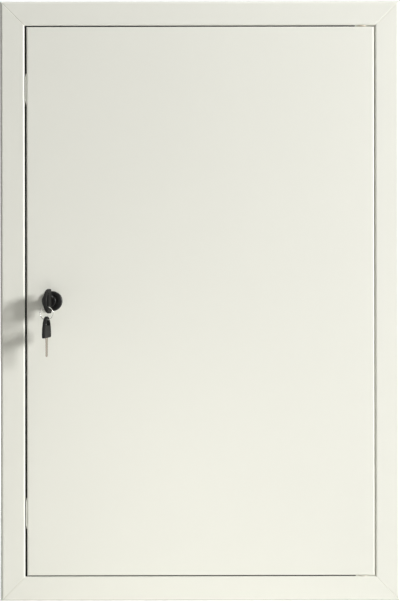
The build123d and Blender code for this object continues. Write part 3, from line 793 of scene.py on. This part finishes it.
class DOOR_OT_corner_welds(bpy.types.Operator):
    """Lays the rippled welds behind the frame's four corners"""
    bl_idname = "panel_door.corner_welds"
    bl_label = "Corner welds"

    def execute(self, context):
        sizes = context.scene.door_sizes
        tree, given = new_tree(
            "Rippled weld",
            {
                "Lines": "NodeSocketGeometry",
                "Ripple": "NodeSocketFloat",
                "Radius": "NodeSocketFloat",
                "Seed": "NodeSocketInt",
                "Finish": "NodeSocketMaterial",
            },
        )
        line = add_node(tree, "GeometryNodeMeshToCurve", inputs={"Mesh": given.outputs["Lines"]})
        spaced = add_node(
            tree,
            "GeometryNodeResampleCurve",
            settings={"mode": "LENGTH"},
            inputs={"Curve": line.outputs["Curve"], "Length": given.outputs["Ripple"]},
        )
        ripple = add_node(
            tree,
            "GeometryNodeMeshUVSphere",
            inputs={"Segments": 14, "Rings": 8, "Radius": given.outputs["Radius"]},
        )
        smooth = add_node(tree, "GeometryNodeSetShadeSmooth", inputs={"Geometry": ripple.outputs["Mesh"]})
        size = add_node(
            tree,
            "FunctionNodeRandomValue",
            settings={"data_type": "FLOAT"},
            inputs={"Seed": given.outputs["Seed"]},
        )
        for socket in size.inputs:
            if socket.type == "VALUE" and socket.name == "Min":
                socket.default_value = RIPPLE_SPREAD[0]
            if socket.type == "VALUE" and socket.name == "Max":
                socket.default_value = RIPPLE_SPREAD[1]
        chosen = next(s for s in size.outputs if s.type == "VALUE")
        placed = add_node(
            tree,
            "GeometryNodeInstanceOnPoints",
            inputs={
                "Points": spaced.outputs["Curve"],
                "Instance": smooth.outputs["Geometry"],
                "Scale": chosen,
            },
        )
        end_tree(tree, placed.outputs["Instances"], given.outputs["Finish"])
        points = []
        edges = []
        for start, end in corner_weld_lines():
            edges.append((len(points), len(points) + 1))
            points += [start, end]
        values = {
            "Ripple": sizes.bead_spacing,
            "Radius": sizes.bead_radius * BEAD_SHARE_PROUD,
            "Seed": SEED,
            "Finish": MATERIALS["powder_coat"],
        }
        mesh = grown_mesh("corner_welds", tree, values, points, edges)
        new_piece("corner_welds", mesh, "frame", "powder_coat")
        return {"FINISHED"}


def painted_gap_shade_section(thickness, front, back):
    """Outline of the black strip that paints the gaps' shade, as pairs of distance into the gap and depth,
    with a rounded front edge.
    """
    corner = thickness * 0.8
    steps = 5
    arc = [
        (thickness - corner + corner * math.cos(a), front + corner - corner * math.sin(a))
        for a in (math.radians(90) * (steps - i) / steps for i in range(steps + 1))
    ]
    return [(0.0, back), (0.0, front), *arc, (thickness, back)]


class DOOR_OT_painted_gap_shade(bpy.types.Operator):
    """Lays a black strip in the gap on the lock side, the top and the bottom, as painted shade in the gap"""
    bl_idname = "panel_door.gap_seal"
    bl_label = "Painted gap shade"

    def execute(self, context):
        sizes = context.scene.door_sizes
        # The strip is painted shade: a black sheet set in the gaps where there is only shade.
        low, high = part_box("leaf_panel")
        stop_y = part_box("hinge_jamb")[1].y - FRAME_SHEET
        left, bottom, top = low.x - LOCK_GAP, low.z - BOTTOM_GAP, high.z + TOP_GAP
        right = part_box("upper_pivot_bush")[0].x - SHADE_STRIP_END_CLEARANCE
        section = painted_gap_shade_section(
            sizes.shade_strip_thickness, low.y + sizes.shade_strip_depth, stop_y - SHADE_STRIP_BACK_CLEARANCE
        )
        path = [
            ((right, top), (0, -1)),
            ((left, top), (1, -1)),
            ((left, bottom), (1, 1)),
            ((right, bottom), (0, 1)),
        ]
        mesh = bpy.data.meshes.new("gap_seal")
        bm = bmesh.new()
        rows = [
            [bm.verts.new((x + into * into_x, y, z + into * into_z)) for into, y in section]
            for (x, z), (into_x, into_z) in path
        ]
        for row, after in zip(rows, rows[1:]):
            for i in range(len(row)):
                bm.faces.new((row[i - 1], row[i], after[i], after[i - 1]))
        bm.faces.new(rows[0])
        bm.faces.new(rows[-1])
        bmesh.ops.recalc_face_normals(bm, faces=bm.faces)
        bm.to_mesh(mesh)
        bm.free()
        new_piece("gap_seal", mesh, "frame", "buffer_rubber")
        return {"FINISHED"}


def plane_mesh(name, reach, level):
    """Level square round the origin."""
    mesh = bpy.data.meshes.new(name)
    corners = [(-reach, -reach, level), (reach, -reach, level), (reach, reach, level), (-reach, reach, level)]
    mesh.from_pydata(corners, [], [(0, 1, 2, 3)])
    return mesh


def sees_background(tree):
    """1 for the rays that show the white background: the camera's, and those off metal and through glass."""
    ray = add_node(tree, "ShaderNodeLightPath")
    direct = add_node(
        tree,
        "ShaderNodeMath",
        settings={"operation": "MAXIMUM"},
        inputs={0: ray.outputs["Is Camera Ray"], 1: ray.outputs["Is Transmission Ray"]},
    )
    return add_node(
        tree,
        "ShaderNodeMath",
        settings={"operation": "MAXIMUM"},
        inputs={0: direct.outputs["Value"], 1: ray.outputs["Is Glossy Ray"]},
    ).outputs["Value"]


def floor_material():
    """Pale studio floor: it keeps the object's shadow, and fades to the plain white of the room far away."""
    material = bpy.data.materials.new("studio_floor")
    material.use_nodes = True
    tree = material.node_tree
    tree.nodes.clear()
    matt = add_node(tree, "ShaderNodeBsdfDiffuse", inputs={"Color": linear("#F4F4F1")})
    place = add_node(tree, "ShaderNodeTexCoord")
    away = add_node(
        tree, "ShaderNodeVectorMath", settings={"operation": "LENGTH"}, inputs={0: place.outputs["Object"]}
    )
    faded = add_node(
        tree,
        "ShaderNodeMapRange",
        inputs={
            "Value": away.outputs["Value"],
            "From Min": FLOOR_FADE[0],
            "From Max": FLOOR_FADE[1],
            "To Min": FLOOR_WHITE[0],
            "To Max": FLOOR_WHITE[1],
        },
    )
    lift = add_node(
        tree,
        "ShaderNodeMath",
        settings={"operation": "MULTIPLY"},
        inputs={0: sees_background(tree), 1: faded.outputs["Result"]},
    )
    white = add_node(
        tree, "ShaderNodeEmission", inputs={"Color": WHITE, "Strength": lift.outputs["Value"]}
    )
    both = add_node(
        tree, "ShaderNodeAddShader", inputs={0: matt.outputs["BSDF"], 1: white.outputs["Emission"]}
    )
    add_node(tree, "ShaderNodeOutputMaterial", inputs={"Surface": both.outputs["Shader"]})
    return material


def light_world(strength):
    """Even room light, warm as it comes off the walls, with plain white behind the object."""
    world = bpy.data.worlds.new("studio_world")
    bpy.context.scene.world = world
    world.use_nodes = True
    tree = world.node_tree
    tree.nodes.clear()
    room = add_node(
        tree, "ShaderNodeBackground", inputs={"Color": linear("#FFF7E7"), "Strength": strength}
    )
    white = add_node(tree, "ShaderNodeBackground", inputs={"Color": WHITE, "Strength": 1.0})
    mix = add_node(
        tree,
        "ShaderNodeMixShader",
        inputs={0: sees_background(tree), 1: room.outputs["Background"], 2: white.outputs["Background"]},
    )
    add_node(tree, "ShaderNodeOutputWorld", inputs={"Surface": mix.outputs["Shader"]})


def area_lamp(name, place, target, size, power, colour):
    """Square soft lamp that points at a target."""
    lamp = bpy.data.lights.new(name, "AREA")
    lamp.shape = "SQUARE"
    lamp.size = size
    lamp.energy = power
    lamp.color = linear(colour)[:3]
    holder = bpy.data.objects.new(name, lamp)
    bpy.context.scene.collection.objects.link(holder)
    holder.location = place
    holder.rotation_euler = (Vector(target) - Vector(place)).to_track_quat("-Z", "Y").to_euler()
    return holder


class DOOR_OT_stage(bpy.types.Operator):
    """Sets the floor, the lamps and the camera"""
    bl_idname = "panel_door.stage"
    bl_label = "Stage"

    def execute(self, context):
        studio = context.scene.door_studio
        low, high = CAD_LOW, CAD_HIGH
        middle = Vector(((low.x + high.x) / 2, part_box("leaf_panel")[0].y, (low.z + high.z) / 2))
        floor = bpy.data.objects.new("floor", plane_mesh("floor", FLOOR_REACH, low.z - FLOOR_DROP))
        context.scene.collection.objects.link(floor)
        floor.data.materials.append(floor_material())
        light_world(studio.room)
        across = math.cos(WINDOW_GRAZING)
        toward = Vector(
            (across * math.cos(WINDOW_RISE), -math.sin(WINDOW_GRAZING), across * math.sin(WINDOW_RISE))
        )
        window = middle + toward * WINDOW_REACH
        low_front = middle + Vector(LOW_FILL_PLACE)
        ahead = low_front + Vector((0, 1, 0))
        area_lamp("window_lamp", window, middle, WINDOW_SIZE, studio.window, "#FFFFFF")
        area_lamp("low_fill_lamp", low_front, ahead, LOW_FILL_SIZE, studio.low_fill, "#FFFCF4")
        area_lamp("top_lamp", middle + Vector(TOP_PLACE), middle, TOP_SIZE, studio.sky, "#FFFFFF")
        area_lamp("back_lamp", middle + Vector(BACK_PLACE), middle, BACK_SIZE, studio.back, "#FFFFFF")
        camera = bpy.data.objects.new("camera", bpy.data.cameras.new("camera"))
        context.scene.collection.objects.link(camera)
        camera.data.lens = studio.lens
        camera.data.sensor_width = 36.0
        camera.data.clip_start = 0.01
        camera.location = middle + Vector((CAMERA_SHIFT[0], -studio.distance, CAMERA_SHIFT[1]))
        camera.rotation_euler = Euler((math.radians(90), CAMERA_ROLL, 0.0), "XYZ")
        context.scene.camera = camera
        context.scene.view_settings.view_transform = "Standard"
        return {"FINISHED"}


class DOOR_PT_panel(bpy.types.Panel):
    """Lists the door's settings and steps"""
    bl_idname = "DOOR_PT_panel"
    bl_label = "Panel Door"
    bl_space_type = "VIEW_3D"
    bl_region_type = "UI"
    bl_category = "Panel Door"

    def draw(self, context):
        scene = context.scene
        for settings in (scene.door_finish, scene.door_sizes, scene.door_studio):
            group = self.layout.box()
            for name in settings.__annotations__:
                group.prop(settings, name)
        for step in STEPS:
            self.layout.operator(step.bl_idname)


STEPS = (
    DOOR_OT_finishes,
    DOOR_OT_painted_gap_shade,
    DOOR_OT_key_ring,
    DOOR_OT_eye_rims,
    DOOR_OT_barrel_thread,
    DOOR_OT_spot_welds,
    DOOR_OT_corner_welds,
    DOOR_OT_stage,
)
SETTINGS = {
    "door_finish": DoorFinishSettings,
    "door_sizes": DoorSizeSettings,
    "door_studio": DoorStudioSettings,
}


def register():
    """Registers the settings, the steps and the sidebar panel."""
    for name, group in SETTINGS.items():
        bpy.utils.register_class(group)
        setattr(bpy.types.Scene, name, bpy.props.PointerProperty(type=group))
    for step in (*STEPS, DOOR_PT_panel):
        bpy.utils.register_class(step)


def unregister():
    """Takes them away again."""
    for step in (DOOR_PT_panel, *reversed(STEPS)):
        bpy.utils.unregister_class(step)
    for name, group in SETTINGS.items():
        delattr(bpy.types.Scene, name)
        bpy.utils.unregister_class(group)


def main():
    """Registers the steps and builds the dressed door."""
    register()
    bpy.ops.panel_door.finishes()
    bpy.ops.panel_door.gap_seal()
    bpy.ops.panel_door.key_ring()
    bpy.ops.panel_door.eye_rims()
    bpy.ops.panel_door.barrel_thread()
    bpy.ops.panel_door.spot_welds()
    bpy.ops.panel_door.corner_welds()
    bpy.ops.panel_door.stage()


if __name__ == "__main__":
    main()
